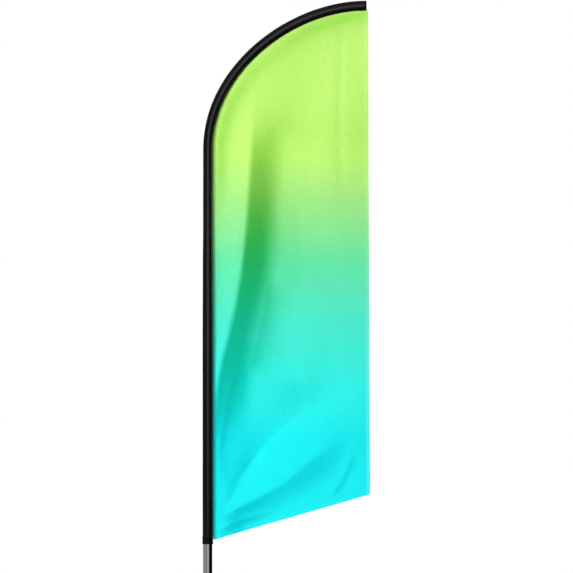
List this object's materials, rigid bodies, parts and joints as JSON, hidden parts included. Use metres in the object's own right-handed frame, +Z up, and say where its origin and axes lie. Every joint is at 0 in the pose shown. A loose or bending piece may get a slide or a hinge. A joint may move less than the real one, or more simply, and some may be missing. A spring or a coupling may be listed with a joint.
{
  "type": "feather banner",
  "caption": "Feather banner: bent sectional mast in a black pole sleeve, gradient cloth panel with a slanted foot, turning on ball bearings above a folding cross base.",
  "frame": {"origin": "on the floor, on the spindle's axis, at the flat underside of the centre foot", "axes": "+Z up along the mast, +X from the mast towards the free edge of the cloth, -Y the front face of the cloth"},
  "size_m": [0.8835, 0.6284, 2.3009],
  "materials": {
    "cloth": "knitted polyester flag cloth, printed with a lime to cyan gradient",
    "sleeve": "black satin stretch fabric",
    "aluminium": "clear anodised, fine drawn lines",
    "fibreglass": "wound fibreglass, semi-matt black",
    "plastic": "moulded nylon, satin black",
    "rubber": "matt black rubber",
    "steel": "zinc plated steel",
    "bright": "polished bearing steel",
    "paint": "black powder coat on steel",
    "brass": "satin brass",
    "nylon": "natural nylon"
  },
  "bodies": {
    "base": {"lower_leg": "paint", "lower_leg_left_end_plug": "plastic", "lower_leg_left_foot": "rubber", "lower_leg_left_screw": "steel", "lower_leg_right_end_plug": "plastic", "lower_leg_right_foot": "rubber", "lower_leg_right_screw": "steel", "hub_foot": "rubber", "spindle": "steel", "leg_spacer": "nylon", "retaining_washer": "steel", "retaining_nut": "steel", "lower_bearing_inner_race": "bright", "upper_bearing_inner_race": "bright"},
    "upper_leg": {"upper_leg": "paint", "upper_leg_left_end_plug": "plastic", "upper_leg_left_foot": "rubber", "upper_leg_left_screw": "steel", "upper_leg_right_end_plug": "plastic", "upper_leg_right_foot": "rubber", "upper_leg_right_screw": "steel"},
    "leg_lock": {"leg_lock_knob": "plastic", "lock_washer": "steel"},
    "banner": {"bottom_tube": "aluminium", "middle_tube": "aluminium", "upper_tube": "fibreglass", "tip_rod": "fibreglass", "bottom_joint_ring": "plastic", "middle_joint_ring": "plastic", "upper_joint_ring": "brass", "tip_cap": "rubber", "pole_sleeve": "sleeve", "tip_pocket": "sleeve", "flag_panel": "cloth", "rotator_tube": "steel", "rotator_cap": "plastic", "mast_foot_ferrule": "plastic", "lower_bearing_outer_race": "bright", "upper_bearing_outer_race": "bright", "lower_circlip": "steel", "upper_circlip": "steel", "tension_tab": "sleeve"},
    "lower_balls": {"lower_bearing_ball_cage": "bright"},
    "upper_balls": {"upper_bearing_ball_cage": "bright"},
    "snap_button": {"snap_button": "bright", "button_leaf_spring": "steel"},
    "tension_collar": {"tension_collar": "plastic", "tab_eyelet": "brass"},
    "collar_screw": {"collar_screw": "plastic"}
  },
  "joints": [
    {"name": "upper_leg_fold", "type": "hinge", "parent": "base", "child": "upper_leg", "pos_m": [0, 0, 0.0406], "axis": [0, 0, 1], "range_deg": [0, 90]},
    {"name": "leg_lock_turn", "type": "hinge", "parent": "base", "child": "leg_lock", "pos_m": [0, 0, 0.0622], "axis": [0, 0, 1], "range_deg": [0, 360]},
    {"name": "banner_spin", "type": "hinge", "parent": "base", "child": "banner", "pos_m": [0, 0, 0.0815], "axis": [0, 0, 1], "continuous": true},
    {"name": "lower_ball_cage_turn", "type": "hinge", "parent": "base", "child": "lower_balls", "pos_m": [0, 0, 0.0815], "axis": [0, 0, 1], "continuous": true},
    {"name": "upper_ball_cage_turn", "type": "hinge", "parent": "base", "child": "upper_balls", "pos_m": [0, 0, 0.2795], "axis": [0, 0, 1], "continuous": true},
    {"name": "snap_button_press", "type": "slide", "parent": "banner", "child": "snap_button", "axis": [0, 1, 0], "range_m": [0, 0.0039], "stiffness_N_per_m": 1500, "springref_m": -0.003},
    {"name": "tension_collar_slide", "type": "slide", "parent": "banner", "child": "tension_collar", "axis": [0, 0, 1], "range_m": [-0.02, 0], "deforming": ["tension_tab"]},
    {"name": "collar_screw_turn", "type": "hinge", "parent": "tension_collar", "child": "collar_screw", "pos_m": [0, -0.019, 0.4144], "axis": [0, -1, 0], "range_deg": [0, 360]}
  ],
  "couplings": [
    {"joint": "lower_ball_cage_turn", "follows": "banner_spin", "ratio": 0.5972},
    {"joint": "upper_ball_cage_turn", "follows": "banner_spin", "ratio": 0.5972}
  ]
}
